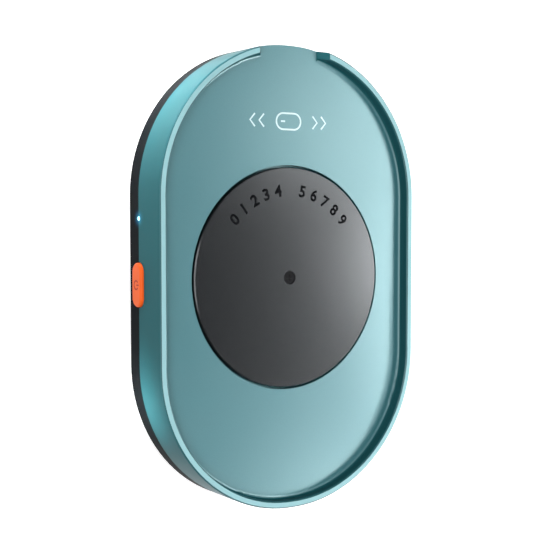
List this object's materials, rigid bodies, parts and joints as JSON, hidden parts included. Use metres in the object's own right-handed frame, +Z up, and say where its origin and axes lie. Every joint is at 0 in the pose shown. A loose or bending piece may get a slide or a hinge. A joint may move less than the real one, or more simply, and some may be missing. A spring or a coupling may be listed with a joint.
{
  "type": "mouse jiggler",
  "caption": "Flat capsule-shaped desk tray with a motor-driven turntable that slowly turns under a computer mouse, a side power button and a gap in the rim for the cord.",
  "frame": {"origin": "on the desk under the turntable's axis, midway between the feet", "axes": "+Z up out of the tray, +Y towards the cord gap and the power inlet, -X towards the power button"},
  "size_m": [0.0869, 0.13, 0.0185],
  "materials": {
    "teal_shell": "satin, metallic lacquer",
    "black_base": "satin",
    "rubber": "matt",
    "dark_steel": "blackened",
    "grey_disc": "satin",
    "bright_steel": "plain",
    "brass_parts": "turned",
    "white_nylon": "moulded",
    "lead_jacket": "smooth",
    "board": "solder mask",
    "chip_black": "matt",
    "capacitor": "fired",
    "clear_lens": "clear, tinted by its light",
    "orange_button": "satin"
  },
  "bodies": {
    "housing": {"top_shell": "teal_shell", "base_cover": "black_base", "rubber_feet": "rubber", "case_screws": "dark_steel", "spindle_bush": "brass_parts", "thrust_washer": "white_nylon", "gear_pin": "bright_steel", "gear_bridge": "black_base", "bridge_screws": "bright_steel", "motor_can": "bright_steel", "motor_end_cap": "white_nylon", "motor_terminals": "brass_parts", "motor_clamp": "bright_steel", "clamp_screws": "bright_steel", "motor_leads": "lead_jacket", "circuit_board": "board", "board_screws": "bright_steel", "controller_chip": "chip_black", "chip_legs": "bright_steel", "board_capacitors": "capacitor", "led": "clear_lens", "light_pipe": "clear_lens", "switch_body": "chip_black", "usb_c_shell": "bright_steel", "usb_c_tongue": "chip_black"},
    "turntable": {"turntable_disc": "grey_disc", "disc_screw": "dark_steel", "spindle": "bright_steel", "spindle_gear": "white_nylon"},
    "compound_gear": {"compound_gear": "white_nylon"},
    "rotor": {"worm": "brass_parts", "motor_shaft": "bright_steel"},
    "button": {"power_button": "orange_button"},
    "plunger": {"switch_plunger": "chip_black"}
  },
  "joints": [
    {"name": "turntable_spin", "type": "hinge", "parent": "housing", "child": "turntable", "pos_m": [0, 0, 0.0131], "axis": [0, 0, 1], "continuous": true},
    {"name": "compound_gear_spin", "type": "hinge", "parent": "housing", "child": "compound_gear", "pos_m": [0, -0.018, 0.0065], "axis": [0, 0, 1], "continuous": true},
    {"name": "motor_spin", "type": "hinge", "parent": "housing", "child": "rotor", "pos_m": [0, -0.02775, 0.0065], "axis": [1, 0, 0], "continuous": true},
    {"name": "power_button_press", "type": "slide", "parent": "housing", "child": "button", "axis": [1, 0, 0], "range_m": [0, 0.0005], "stiffness_N_per_m": 1500, "springref_m": -0.0003},
    {"name": "switch_plunger_press", "type": "slide", "parent": "housing", "child": "plunger", "axis": [1, 0, 0], "range_m": [0, 0.0005]}
  ],
  "couplings": [
    {"joint": "compound_gear_spin", "follows": "turntable_spin", "ratio": -5},
    {"joint": "motor_spin", "follows": "turntable_spin", "ratio": 150},
    {"joint": "switch_plunger_press", "follows": "power_button_press", "ratio": 1}
  ]
}
